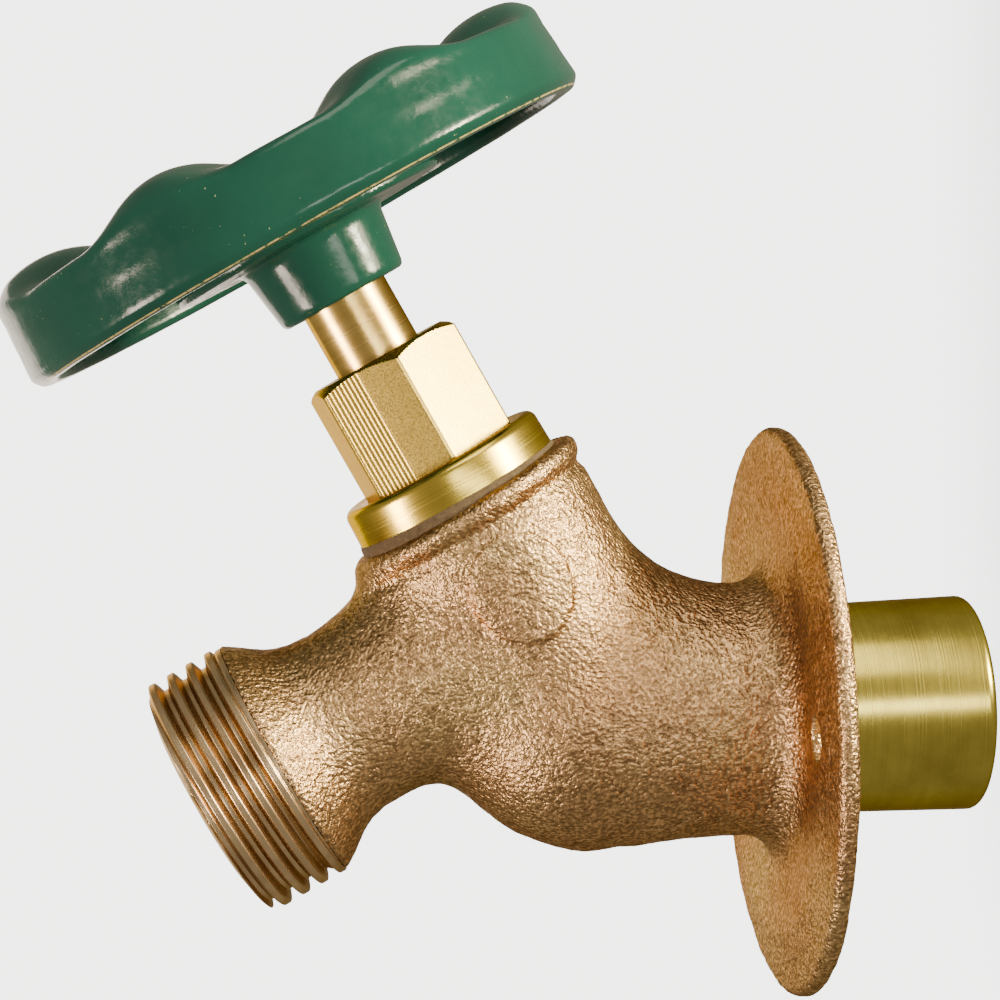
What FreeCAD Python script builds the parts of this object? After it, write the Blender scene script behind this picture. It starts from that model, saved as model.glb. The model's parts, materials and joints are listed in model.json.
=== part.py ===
"""Hose bib (garden tap) with an angled stem, a round wall flange and a wheel handle.

Frame, millimetres: the origin is the centre of the wall flange's back face, on the
inlet axis. +X runs into the wall along the inlet tube, +Z is up, -Y is the near side.

Three local frames are used and then placed in the part's frame:
  bonnet frame   Z along the stem axis, z = 0 on the underside of the bonnet's collar
  outlet frame   Z into the body along the outlet axis, z = 0 on the hose end
  inlet frame    Z along +X, z = 0 on the wall
"""
import FreeCAD
import Part
import math
import os

Vector = FreeCAD.Vector
X_AXIS = Vector(1, 0, 0)
Y_AXIS = Vector(0, 1, 0)
Z_AXIS = Vector(0, 0, 1)

# Layout
STEM_TILT = 28.0             # stem axis leans from vertical towards the hose end
VALVE_CENTRE_X = -22.8       # where the stem axis crosses the inlet axis
COLLAR_ABOVE_CENTRE = 27.2   # valve centre to the collar's underside, along the stem
OUTLET_BELOW_COLLAR = 14.6   # collar's underside to the outlet axis, along the stem
OUTLET_REACH = 38.5          # stem axis to the hose end

# Wall flange, inlet neck and inlet tube
FLANGE_R = 30.3
FLANGE_EDGE = 2.0
FLANGE_FACE = 3.0
SCREW_HOLE_R = 2.4
SCREW_HOLE_OFFSET = 22.0
INLET_NECK_R = 13.2
GLOBE_R = 13.8
GLOBE_CENTRE_X = -24.2
GLOBE_CENTRE_Z = 0.2
TUBE_R = 11.11
TUBE_BORE_R = 7.95
TUBE_LENGTH = 18.6
TUBE_SOCKET_DEPTH = 8.0
TUBE_SOCKET_R = 10.9         # the tube's turned-down end, inside the casting
BRAZE_RECESS_R = 11.6        # shallow ring round the tube in the flange's back
BRAZE_RECESS_DEPTH = 0.6
INLET_PASSAGE_R = 6.0

# Boss that takes the bonnet
BOSS_R = 12.7
BOSS_BEAD_R = 13.2
GASKET_THICK = 0.7
GASKET_R = 10.9
BONNET_THREAD_R = 9.0
BONNET_THREAD_DEPTH = 9.5
CHAMBER_R = 8.2
CHAMBER_FLOOR = -19.6
SEAT_FACE = -18.4
SEAT_LIP_R = 6.2
SEAT_BORE_R = 4.75

# Hose outlet
HOSE_THREAD_R = 13.495
HOSE_ROOT_R = 12.25
HOSE_PITCH = 25.4 / 11.5
HOSE_THREAD_END = 9.0
HOSE_SHOULDER_R = 13.2
OUTLET_NECK_R = 10.2
OUTLET_BORE_R = 9.5
OUTLET_BORE_DEPTH = 9.0
OUTLET_PASSAGE_R = 5.0

# Bonnet and packing nut
COLLAR_R = 10.8
COLLAR_TOP = 3.8
BONNET_BOTTOM = -7.8
NECK_R = 7.0
NECK_TOP = 11.4
PACKING_R = 6.1
PACKING_BOTTOM = 6.0
PACKING_TOP = 10.3
RELIEF_R = 6.3
RELIEF_BOTTOM = 1.0
RELIEF_TOP = 4.3
HEX_FLATS = 15.9
HEX_BOTTOM = 3.9
HEX_TOP = 16.4
HEX_TURN = 7.0               # first corner, turned from the near side
GLAND_TOP = 12.2

# Stem, its screw thread and the washer
STEM_R = 4.76
RUNNING_FIT = 0.05
SCREW_LEAD = 2.54
SCREW_ROOT_R = 4.95
SCREW_CREST_R = 5.9
SCREW_CLEARANCE = 0.15
ENVELOPE_MARGIN = 0.02       # the outline that trims a thread stands this far off its crest
SCREW_BOTTOM = -12.4
SCREW_TOP = -1.8
DISC_R = 6.6
DISC_BOTTOM = -15.8
DISC_TOP = -14.0
WASHER_R = 6.4
WASHER_SCREW_R = 1.8
WASHER_SCREW_HEAD_R = 3.4
WASHER_SCREW_HEAD = 1.8
SQUARE_FLATS = 6.4
SQUARE_BOTTOM = 26.0
STEM_TOP = 36.0

# Handwheel
HUB_BOTTOM = 23.9
HUB_BOTTOM_R = 7.2
HUB_TOP_R = 8.1
WHEEL_BOTTOM = 31.1
WHEEL_TOP = 38.9
WHEEL_R = 32.5
WHEEL_WALL = 3.0
WHEEL_PLATE = 3.0
CENTRE_DISC_R = 15.4
LOBES = 7
LOBE_RISE = 3.8
LOBE_BALL_R = 9.5
LOBE_CIRCLE_R = 26.2
LOBE_TURN = -25.7            # first lobe, turned from the near side
WINDOW_R = 4.0
WINDOW_CIRCLE_R = 20.7
RECESS_R = 9.0
RECESS_DEPTH = 1.5
CAP_DISC_R = 8.2
CAP_DISC_THICK = 0.8
HANDLE_SCREW_R = 2.0
HANDLE_SCREW_HEAD_R = 4.6
HANDLE_SCREW_HEAD = 2.6
HANDLE_SCREW_BOTTOM = 27.5


def rounded_outline(points):
    """Closed wire in the XZ plane; a third value on a point rounds that corner."""
    count = len(points)
    starts, ends, arcs = [], [], []
    for index, point in enumerate(points):
        corner = Vector(point[0], 0, point[1])
        if len(point) == 2:
            starts.append(corner)
            ends.append(corner)
            arcs.append(None)
            continue
        before = points[index - 1]
        after = points[(index + 1) % count]
        back = (Vector(before[0], 0, before[1]) - corner).normalize()
        forward = (Vector(after[0], 0, after[1]) - corner).normalize()
        half_angle = back.getAngle(forward) / 2
        bisector = (back + forward).normalize()
        trim = point[2] / math.tan(half_angle)
        centre = corner + bisector * (point[2] / math.sin(half_angle))
        starts.append(corner + back * trim)
        ends.append(corner + forward * trim)
        arcs.append(centre - bisector * point[2])
    edges = []
    for index in range(count):
        if arcs[index]:
            edges.append(Part.Arc(starts[index], arcs[index], ends[index]).toShape())
        following = starts[(index + 1) % count]
        if (following - ends[index]).Length > 1e-6:
            edges.append(Part.makeLine(ends[index], following))
    return Part.Wire(edges)


def turned(points):
    """Solid of revolution about Z from an outline of (radius, height) points."""
    return Part.Face(rounded_outline(points)).revolve(Vector(0, 0, 0), Z_AXIS, 360)


def rod(radius, bottom, top):
    return Part.makeCylinder(radius, top - bottom, Vector(0, 0, bottom))


def ring(outer, inner, bottom, top):
    return rod(outer, bottom, top).cut(rod(inner, bottom - 1, top + 1))


def prism(sides, flats, bottom, top, turn):
    """Regular prism by its width across flats; turn is its first corner from -Y."""
    corner_r = flats / 2 / math.cos(math.pi / sides)
    corners = []
    for index in range(sides + 1):
        angle = math.radians(turn + 360 * index / sides)
        corners.append(Vector(corner_r * math.sin(angle), -corner_r * math.cos(angle), bottom))
    return Part.Face(Part.makePolygon(corners)).extrude(Vector(0, 0, top - bottom))


def around(shape, count, turn):
    """Copies of a shape that lies towards -Y, spaced evenly about Z."""
    copies = []
    for index in range(count):
        copy = shape.copy()
        copy.rotate(Vector(0, 0, 0), Z_AXIS, turn + 360 * index / count)
        copies.append(copy)
    return copies


def helical_ridge(root_r, crest_r, root_width, crest_width, lead, bottom, top):
    """Right-hand thread ridge about Z, with a flat crest and sloping flanks."""
    helix = Part.makeHelix(lead, top - bottom, root_r)
    profile = Part.makePolygon([
        Vector(root_r, 0, -root_width / 2),
        Vector(crest_r, 0, -crest_width / 2),
        Vector(crest_r, 0, crest_width / 2),
        Vector(root_r, 0, root_width / 2),
        Vector(root_r, 0, -root_width / 2)])
    ridge = Part.Wire(helix.Edges).makePipeShell([profile], True, True)
    ridge.translate(Vector(0, 0, bottom))
    return ridge


def in_bonnet_frame(shape):
    placed = shape.copy()
    placed.rotate(Vector(0, 0, 0), Y_AXIS, -STEM_TILT)
    tilt = math.radians(STEM_TILT)
    placed.translate(Vector(VALVE_CENTRE_X - COLLAR_ABOVE_CENTRE * math.sin(tilt), 0,
                            COLLAR_ABOVE_CENTRE * math.cos(tilt)))
    return placed


def in_outlet_frame(shape):
    placed = shape.copy()
    placed.rotate(Vector(0, 0, 0), Y_AXIS, 90)
    placed.translate(Vector(-OUTLET_REACH, 0, -OUTLET_BELOW_COLLAR))
    return in_bonnet_frame(placed)


def in_inlet_frame(shape):
    placed = shape.copy()
    placed.rotate(Vector(0, 0, 0), Y_AXIS, 90)
    return placed


def flange_and_neck():
    """Wall flange with a shallow dish, flared into the round inlet neck."""
    neck_end = VALVE_CENTRE_X
    solid = turned([
        (0, 0), (FLANGE_R, 0, 0.9), (FLANGE_R, -FLANGE_EDGE, 0.9),
        (23.5, -FLANGE_FACE, 5), (18.5, -FLANGE_FACE + 0.4, 5),
        (INLET_NECK_R, -FLANGE_FACE + 0.2, 3.2), (INLET_NECK_R, neck_end), (0, neck_end)])
    return in_inlet_frame(solid)


def boss():
    """Upright boss with a rolled bead round its mouth."""
    solid = turned([
        (0, -COLLAR_ABOVE_CENTRE), (BOSS_R, -COLLAR_ABOVE_CENTRE), (BOSS_R, -3.6, 0.4),
        (BOSS_BEAD_R, -3.1, 0.4), (BOSS_BEAD_R, -GASKET_THICK, 0.9), (0, -GASKET_THICK)])
    return in_bonnet_frame(solid)


def outlet_neck():
    """Waisted outlet neck: the hose thread's plain core, then a cone from its shoulder."""
    solid = turned([
        (0, 0), (HOSE_ROOT_R, 0, 0.4), (HOSE_ROOT_R, HOSE_THREAD_END),
        (HOSE_SHOULDER_R, HOSE_THREAD_END, 0.3), (10.4, 14.3, 3), (OUTLET_NECK_R, 18.5, 8),
        (11.4, 27, 8), (11.8, OUTLET_REACH), (0, OUTLET_REACH)])
    return in_outlet_frame(solid)


def hose_thread():
    """Male hose thread, 11.5 turns to the inch, from the hose end to the shoulder."""
    ridge = helical_ridge(HOSE_ROOT_R - 0.15, HOSE_THREAD_R, 2.05, 0.55, HOSE_PITCH, -3, 14)
    trim_r = HOSE_THREAD_R + ENVELOPE_MARGIN
    run_out = HOSE_THREAD_END - 0.1
    envelope = turned([
        (0, 0.2), (HOSE_ROOT_R - 0.1, 0.2), (trim_r, 1.0), (trim_r, run_out - 0.9),
        (HOSE_ROOT_R - 0.1, run_out), (0, run_out)])
    return in_outlet_frame(ridge.common(envelope))


def inlet_waterway():
    """Socket for the tube, then the passage to under the seat."""
    socket = in_inlet_frame(rod(TUBE_SOCKET_R, -TUBE_SOCKET_DEPTH, 1))
    recess = in_inlet_frame(rod(BRAZE_RECESS_R, -BRAZE_RECESS_DEPTH, 1))
    passage = in_inlet_frame(rod(INLET_PASSAGE_R, VALVE_CENTRE_X, 0))
    end = Part.makeSphere(INLET_PASSAGE_R, Vector(VALVE_CENTRE_X, 0, 0))
    seat_bore = in_bonnet_frame(rod(SEAT_BORE_R, -COLLAR_ABOVE_CENTRE, SEAT_FACE + 1))
    return [socket, recess, passage, end, seat_bore]


def valve_chamber():
    """Bonnet hole and the chamber round the raised seat."""
    mouth = rod(BONNET_THREAD_R, -BONNET_THREAD_DEPTH, 1)
    chamber = rod(CHAMBER_R, SEAT_FACE, 1 - BONNET_THREAD_DEPTH)
    moat = ring(CHAMBER_R, SEAT_LIP_R, CHAMBER_FLOOR, SEAT_FACE)
    return [in_bonnet_frame(mouth), in_bonnet_frame(chamber), in_bonnet_frame(moat)]


def outlet_waterway():
    """Stepped and tapered passage from the chamber to the hose end."""
    solid = turned([
        (0, -1), (OUTLET_BORE_R, -1), (OUTLET_BORE_R, OUTLET_BORE_DEPTH), (7.2, 12.5),
        (7.2, 19.5), (OUTLET_PASSAGE_R, 24.5), (OUTLET_PASSAGE_R, OUTLET_REACH),
        (0, OUTLET_REACH)])
    return in_outlet_frame(solid)


def wall_screw_holes():
    holes = []
    for side in (-1, 1):
        start = Vector(-FLANGE_FACE - 2, side * SCREW_HOLE_OFFSET, 0)
        holes.append(Part.makeCylinder(SCREW_HOLE_R, FLANGE_FACE + 4, start, X_AXIS))
    return holes


def body_casting():
    globe = Part.makeSphere(GLOBE_R, Vector(GLOBE_CENTRE_X, 0, GLOBE_CENTRE_Z))
    outside = flange_and_neck().fuse([globe, boss(), outlet_neck()]).removeSplitter()
    inside = inlet_waterway() + valve_chamber() + [outlet_waterway()] + wall_screw_holes()
    return outside.fuse(hose_thread()).cut(inside)


def inlet_tube():
    """Brass tube, brazed into the neck; its bore takes a smaller copper tube."""
    outside = turned([
        (0, -TUBE_SOCKET_DEPTH), (TUBE_SOCKET_R, -TUBE_SOCKET_DEPTH), (TUBE_SOCKET_R, 0),
        (TUBE_R, 0), (TUBE_R, TUBE_LENGTH, 0.5), (0, TUBE_LENGTH)])
    cup = rod(TUBE_BORE_R, 0, TUBE_LENGTH + 1)
    throat = rod(INLET_PASSAGE_R, -TUBE_SOCKET_DEPTH - 1, 1)
    return in_inlet_frame(outside.cut([cup, throat]))


def bonnet_gasket():
    return in_bonnet_frame(ring(GASKET_R, BONNET_THREAD_R, -GASKET_THICK, 0))


def bonnet():
    """Threaded shank, round collar and neck; the stem screws up through it."""
    outside = turned([
        (0, BONNET_BOTTOM), (BONNET_THREAD_R, BONNET_BOTTOM, 0.5), (BONNET_THREAD_R, 0),
        (COLLAR_R, 0, 0.3), (COLLAR_R, COLLAR_TOP, 0.4), (NECK_R, COLLAR_TOP),
        (NECK_R, NECK_TOP, 0.3), (0, NECK_TOP)])
    screw_bore = rod(SCREW_ROOT_R + SCREW_CLEARANCE, BONNET_BOTTOM - 1, RELIEF_TOP)
    relief = rod(RELIEF_R, RELIEF_BOTTOM, RELIEF_TOP)
    guide = rod(STEM_R + 2 * RUNNING_FIT, RELIEF_TOP - 1, PACKING_BOTTOM + 1)
    packing_bore = rod(PACKING_R, PACKING_BOTTOM, NECK_TOP + 1)
    groove = stem_ridge(SCREW_CLEARANCE).common(rod(COLLAR_R, BONNET_BOTTOM - 1, RELIEF_BOTTOM))
    return in_bonnet_frame(outside.cut([screw_bore, relief, guide, packing_bore]).cut(groove))


def packing_ring(bottom, top):
    return in_bonnet_frame(ring(PACKING_R, STEM_R + RUNNING_FIT, bottom, top))


def packing_gland():
    """Brass follower that the nut presses on the packing."""
    return in_bonnet_frame(ring(PACKING_R - RUNNING_FIT, STEM_R + 2 * RUNNING_FIT,
                                PACKING_TOP, GLAND_TOP))


def packing_nut():
    """Hexagon nut over the bonnet's neck, its top corners turned to a chamfer."""
    hexagon = prism(6, HEX_FLATS, HEX_BOTTOM, HEX_TOP, HEX_TURN)
    corner_r = HEX_FLATS / 2 / math.cos(math.pi / 6)
    turned_corners = turned([
        (0, HEX_BOTTOM), (corner_r, HEX_BOTTOM), (corner_r, HEX_TOP - 0.9),
        (HEX_FLATS / 2 - 0.4, HEX_TOP), (0, HEX_TOP)])
    neck_hole = rod(NECK_R, HEX_BOTTOM - 1, GLAND_TOP)
    stem_hole = rod(STEM_R + 3 * RUNNING_FIT, GLAND_TOP - 1, HEX_TOP + 1)
    return in_bonnet_frame(hexagon.common(turned_corners).cut([neck_hole, stem_hole]))


def stem_ridge(clearance):
    """The stem's lifting screw; with a clearance it is the matching groove."""
    return helical_ridge(
        SCREW_ROOT_R - 0.1, SCREW_CREST_R + clearance, 1.45 + 2 * clearance,
        0.75 + 2 * clearance, SCREW_LEAD, SCREW_BOTTOM - 2 * SCREW_LEAD,
        SCREW_TOP + 3 * SCREW_LEAD)


def stem():
    """Spindle: washer disc, lifting screw, polished shank and square end."""
    shaft = turned([
        (0, DISC_BOTTOM), (DISC_R, DISC_BOTTOM), (DISC_R, DISC_TOP, 0.4), (4.2, DISC_TOP),
        (4.2, SCREW_BOTTOM - 0.4), (SCREW_ROOT_R, SCREW_BOTTOM + 0.2),
        (SCREW_ROOT_R, SCREW_TOP), (STEM_R, SCREW_TOP + 0.2), (STEM_R, SQUARE_BOTTOM),
        (0, SQUARE_BOTTOM)])
    trim_r = SCREW_CREST_R + ENVELOPE_MARGIN
    envelope = turned([
        (0, SCREW_BOTTOM), (SCREW_ROOT_R - 0.2, SCREW_BOTTOM), (trim_r, SCREW_BOTTOM + 0.8),
        (trim_r, SCREW_TOP - 0.8), (SCREW_ROOT_R - 0.2, SCREW_TOP), (0, SCREW_TOP)])
    ridge = stem_ridge(0).common(envelope)
    square = prism(4, SQUARE_FLATS, SQUARE_BOTTOM - 0.5, STEM_TOP, HEX_TURN)
    handle_hole = rod(HANDLE_SCREW_R, HANDLE_SCREW_BOTTOM, STEM_TOP + 1)
    washer_hole = rod(WASHER_SCREW_R, DISC_BOTTOM - 1, DISC_TOP + 6)
    return in_bonnet_frame(shaft.fuse([square, ridge]).cut([handle_hole, washer_hole]))


def seat_washer():
    """Rubber washer, free to turn on its screw when it meets the seat."""
    return in_bonnet_frame(ring(WASHER_R, WASHER_SCREW_R + RUNNING_FIT, SEAT_FACE,
                                DISC_BOTTOM - RUNNING_FIT))


def washer_screw():
    head_top = SEAT_FACE - RUNNING_FIT
    solid = turned([
        (0, head_top - WASHER_SCREW_HEAD), (WASHER_SCREW_HEAD_R, head_top - WASHER_SCREW_HEAD, 0.8),
        (WASHER_SCREW_HEAD_R, head_top), (WASHER_SCREW_R, head_top),
        (WASHER_SCREW_R, DISC_TOP + 5), (0, DISC_TOP + 5)])
    slot = Part.makeBox(8, 0.9, 1.0, Vector(-4, -0.45, head_top - WASHER_SCREW_HEAD - 0.1))
    return in_bonnet_frame(solid.cut(slot))


def lobes():
    """Round finger lobes that stand up from the wheel's top."""
    ball = Part.makeSphere(LOBE_BALL_R, Vector(0, -LOBE_CIRCLE_R,
                                               WHEEL_TOP + LOBE_RISE - LOBE_BALL_R))
    outer = WHEEL_R - 0.3
    above = turned([(0, WHEEL_TOP - 1), (outer, WHEEL_TOP - 1), (outer, WHEEL_TOP + 3, 2.2),
                    (0, WHEEL_TOP + LOBE_RISE + 1)])
    return around(ball.common(above), LOBES, LOBE_TURN)


def handwheel():
    """Wheel handle: tapered hub, flat centre disc, thin top plate and rim wall."""
    plate_bottom = WHEEL_TOP - WHEEL_PLATE
    wall_r = WHEEL_R - WHEEL_WALL
    solid = turned([
        (0, HUB_BOTTOM), (HUB_BOTTOM_R, HUB_BOTTOM, 0.8), (HUB_TOP_R, WHEEL_BOTTOM),
        (CENTRE_DISC_R, WHEEL_BOTTOM, 0.5), (CENTRE_DISC_R, plate_bottom, 1.2),
        (wall_r, plate_bottom, 1.2), (wall_r, WHEEL_BOTTOM, 0.5), (WHEEL_R, WHEEL_BOTTOM, 1.2),
        (WHEEL_R - 0.3, WHEEL_TOP, 0.6), (RECESS_R + 1, WHEEL_TOP, 0.5),
        (RECESS_R, WHEEL_TOP - RECESS_DEPTH), (0, WHEEL_TOP - RECESS_DEPTH)])
    square_hole = prism(4, SQUARE_FLATS, SQUARE_BOTTOM, WHEEL_TOP, HEX_TURN)
    round_hole = rod(STEM_R, HUB_BOTTOM - 1, SQUARE_BOTTOM)
    window = Part.makeCylinder(WINDOW_R, 2 * WHEEL_PLATE,
                               Vector(0, -WINDOW_CIRCLE_R, plate_bottom - 1))
    windows = around(window, LOBES, LOBE_TURN + 180 / LOBES)
    return in_bonnet_frame(solid.fuse(lobes()).cut([square_hole, round_hole] + windows))


def cap_disc():
    """Plain disc in the wheel's recess, under the screw head."""
    bottom = WHEEL_TOP - RECESS_DEPTH
    return in_bonnet_frame(ring(CAP_DISC_R, HANDLE_SCREW_R, bottom, bottom + CAP_DISC_THICK))


def handle_screw():
    """Pan-head screw with a cross slot that holds the wheel on the stem."""
    seat = WHEEL_TOP - RECESS_DEPTH + CAP_DISC_THICK
    top = seat + HANDLE_SCREW_HEAD
    solid = turned([
        (0, HANDLE_SCREW_BOTTOM), (HANDLE_SCREW_R, HANDLE_SCREW_BOTTOM, 0.5),
        (HANDLE_SCREW_R, seat), (HANDLE_SCREW_HEAD_R, seat), (HANDLE_SCREW_HEAD_R, top, 1.4),
        (0, top)])
    slots = []
    for size in ((4.4, 1.1), (1.1, 4.4)):
        slots.append(Part.makeBox(size[0], size[1], 2, Vector(-size[0] / 2, -size[1] / 2, top - 1.5)))
    return in_bonnet_frame(solid.cut(slots))


PACKING_MIDDLE = (PACKING_BOTTOM + PACKING_TOP) / 2
NODES = {
    "body_casting": body_casting(),
    "inlet_tube": inlet_tube(),
    "bonnet_gasket": bonnet_gasket(),
    "bonnet": bonnet(),
    "packing_ring_lower": packing_ring(PACKING_BOTTOM, PACKING_MIDDLE),
    "packing_ring_upper": packing_ring(PACKING_MIDDLE, PACKING_TOP),
    "packing_gland": packing_gland(),
    "packing_nut": packing_nut(),
    "seat_washer": seat_washer(),
    "washer_screw": washer_screw(),
    "stem": stem(),
    "handwheel": handwheel(),
    "cap_disc": cap_disc(),
    "handle_screw": handle_screw(),
}

os.makedirs("parts", exist_ok=True)
for name, shape in NODES.items():
    shape.exportStep("parts/" + name + ".step")
    print(name, "valid", shape.isValid(), "solids", len(shape.Solids), "volume", round(shape.Volume, 1))
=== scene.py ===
"""Looks of the hose bib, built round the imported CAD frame.

Shapes are worked out in millimetres in the stem's own frame (s along the stem from the
underside of the bonnet's collar, u away from the hose end, y as in the row frame) and in
the row frame, and are placed in metres.
"""

import json
import math

import bmesh
import bpy
import numpy as np
from mathutils import Matrix, Vector, noise


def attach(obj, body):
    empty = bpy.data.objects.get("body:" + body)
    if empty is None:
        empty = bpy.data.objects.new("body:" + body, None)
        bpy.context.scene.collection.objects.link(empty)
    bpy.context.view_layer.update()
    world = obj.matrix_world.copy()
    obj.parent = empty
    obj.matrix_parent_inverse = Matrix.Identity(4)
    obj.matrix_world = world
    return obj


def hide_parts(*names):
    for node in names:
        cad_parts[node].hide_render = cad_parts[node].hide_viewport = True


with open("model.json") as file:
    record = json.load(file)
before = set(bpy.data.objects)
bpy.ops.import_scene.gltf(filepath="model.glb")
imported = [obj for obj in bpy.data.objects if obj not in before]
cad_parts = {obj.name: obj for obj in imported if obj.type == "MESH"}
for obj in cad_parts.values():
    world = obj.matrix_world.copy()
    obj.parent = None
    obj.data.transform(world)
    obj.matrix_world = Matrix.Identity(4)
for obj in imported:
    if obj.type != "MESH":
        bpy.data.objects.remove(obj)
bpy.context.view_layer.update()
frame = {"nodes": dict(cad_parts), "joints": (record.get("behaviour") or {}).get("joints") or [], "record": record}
MM = 0.001
NODES = frame["nodes"]
JOINTS = {joint["name"]: joint for joint in frame["joints"]}
MOUNTS = {mount["name"]: mount for mount in frame["record"]["mounts"]}

# Axes from the frame, in millimetres
STEM_AXIS = np.array(JOINTS["handwheel_turn"]["axis"])
STEM_BASE = np.array(JOINTS["handwheel_turn"]["pos_m"]) / MM
OUTLET_AXIS = -np.array(MOUNTS["hose_thread"]["axis"])
OUTLET_END = np.array(MOUNTS["hose_thread"]["pos_m"]) / MM
NEAR = np.array([0.0, -1.0, 0.0])
VALVE_CENTRE_X = STEM_BASE[0] - STEM_BASE[2] * STEM_AXIS[0] / STEM_AXIS[2]

# Casting, millimetres
HOLE_OFFSET = MOUNTS["wall_screws"]["dims"]["spacing_x_mm"] / 2
HOLE_R = MOUNTS["wall_screws"]["dims"]["hole_r_mm"]
TUBE_R = MOUNTS["inlet_spigot"]["dims"]["r_mm"]
TUBE_BORE_R = MOUNTS["inlet_bore"]["dims"]["r_mm"]
TUBE_LENGTH = MOUNTS["inlet_bore"]["dims"]["length_mm"]
TUBE_SOCKET = 8.0
TUBE_SOCKET_R = 10.9
FLANGE_PROFILE = [(-60, -0.9), (22, -0.9), (29.35, -1.32), (29.35, -1.5), (23.6, -2.2),
                  (18.0, -1.75), (-60, -1.75)]
NECK_R = 13.4
NECK_RISE = 0.3
GLOBE_R = 13.6
GLOBE_CENTRE = (-24.2, 0, 0.35)
BOSS_R = 12.7
BOSS_ROUND_DEPTH = 24     # the boss ends in a ball this far below the collar
CORE_SHIFT = 0.42
MOUTH_TILT = 0.035
BOSS_PROFILE = [(-60, -0.7), (11.0, -0.7), (11.15, -0.48), (12.2, -0.45), (12.85, -0.62),
                (13.2, -1.05), (13.25, -1.6), (13.0, -2.3), (12.6, -2.8), (12.42, -3.2),
                (12.5, -3.7), (12.7, -4.3), (12.7, -60), (-60, -60)]
PAD_CENTRE = (0.4, -10.2)
PAD_HALF = (5.4, 5.9)
PAD_RISE = 0.42
GASKET = 0.7
GASKET_R = 10.8
GASKET_HOLE_R = 9.1
MOUTH_R = 9.0
MOUTH_DEPTH = 9.5
CHAMBER_R = 8.2
CHAMBER_DEPTH = 19
SEAT_BORE_R = 4.75
PASSAGE_R = 6.0
OUTLET_REACH = 38.5       # hose end to the stem's axis
OUTLET_BORE_R = MOUNTS["outlet_bore"]["dims"]["r_mm"]
CASTING_STEP = 0.34
CASTING_SPACE = (-61.7, -31.4, -31.4), (0.6, 31.4, 31.8)
SKIN_GRAIN = (1.5, 0.07)      # size and height of the casting's grain
SKIN_SWELL = (6.0, 0.1)       # and of its slow swell

# Hose thread, millimetres
THREAD_R = MOUNTS["hose_thread"]["dims"]["r_mm"]
THREAD_ROOT_R = 12.25
THREAD_PITCH = 25.4 / 11.5
THREAD_TURN = 0.07
THREAD_END = 9.0
THREAD_GRID = (360, 230)      # steps round and along
WAIST = np.array([(0, 13.25), (9.3, 13.25), (10.2, 12.65), (11.5, 11.75), (12.8, 10.85),
                  (14.0, 10.25), (15.5, 9.85), (17.5, 9.75), (20, 10.0), (23, 10.5),
                  (27, 11.0), (38.5, 11.6)]).T

# Handwheel, millimetres
WHEEL_R = 32.4
WHEEL_BOTTOM = 31.1
WHEEL_TOP = 38.9
WHEEL_INNER_R = 29.5
PLATE_BOTTOM = 35.9
DISC_R = 15.4
HUB_BOTTOM = 23.9
HUB_BORE_R = 4.85
RECESS_R = 9.0
RECESS_DEPTH = 1.5
WINDOW_R = 4.0
WINDOW_CIRCLE_R = 20.6
LOBES = 7
LOBE_TURN = math.radians(-25.7)
LOBE_CIRCLE_R = 26.0
LOBE_BALL_R = 9.5
LOBE_RISE = 3.5
SQUARE_HALF = 3.25
SQUARE_BOTTOM = 26.0
SQUARE_TURN = math.radians(52)
STEM_TOP = 36.0
WHEEL_STEP = 0.4
WHEEL_SPACE = (-36, -35, 22), (36, 35, 45)
HIGHLIGHT_LINE_LEVEL = 31.3             # height of the painted highlight line along the rim's lower edge
HIGHLIGHT_LINE_WIDTH = 0.1

# Bonnet, millimetres
SHANK_R = 8.95
SHANK_BOTTOM = -7.8
COLLAR_R = 10.8
COLLAR_TOP = 3.8
BONNET_NECK_R = 6.95
BONNET_NECK_TOP = 11.4
BONNET_BORE_R = 6.2

# Packing nut, millimetres
NUT_FLATS = 15.9
NUT_BOTTOM = 3.9
NUT_TOP = 16.9
NUT_TURN = math.radians(7)
NUT_BORE_R = 4.95
NUT_HOLLOW_R = 7.02
NUT_HOLLOW_TOP = 12.3
NUT_CHAMFER = 0.95
RIDGED_FACE = 5
RIDGED_SPAN = (-4.2, 0.1)
RIDGE_PITCH = 0.5
RIDGE_HALF_DEPTH = 0.012

# Camera
CAMERA_YAW = math.radians(6.06)
CAMERA_PITCH = math.radians(2.85)
CAMERA_ROLL = math.radians(-1.63)
CAMERA_LOOK_AT = Vector((-0.0311, 0, 0.0235))
CAMERA_DISTANCE = 0.26
CAMERA_LENS = 88.8

# Stage, metres
LIT = (-0.03, 0, 0.02)
FLOOR_HALF = 2.5
FLOOR_Z = -0.5
WALL_Y = 1.3
WALL_TOP = 0.9
FLOOR_BEND = 0.4


# ---------------------------------------------------------------- distance fields

def stem_coords(points):
    """Distance along the stem, across it in the drawing plane, and depth."""
    local = points - STEM_BASE
    across = np.cross(STEM_AXIS, NEAR)
    return local @ STEM_AXIS, local @ across, points[:, 1]


def outlet_coords(points):
    """Distance in from the hose end, and radius from the outlet's axis."""
    local = points - OUTLET_END
    along = local @ OUTLET_AXIS
    return along, np.linalg.norm(local - along[:, None] * OUTLET_AXIS, axis=1)


def cylinder(radius, along, wall, low, high):
    """Distance to a capped cylinder from a point's radius and height."""
    return np.maximum(radius - wall, np.maximum(low - along, along - high))


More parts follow.
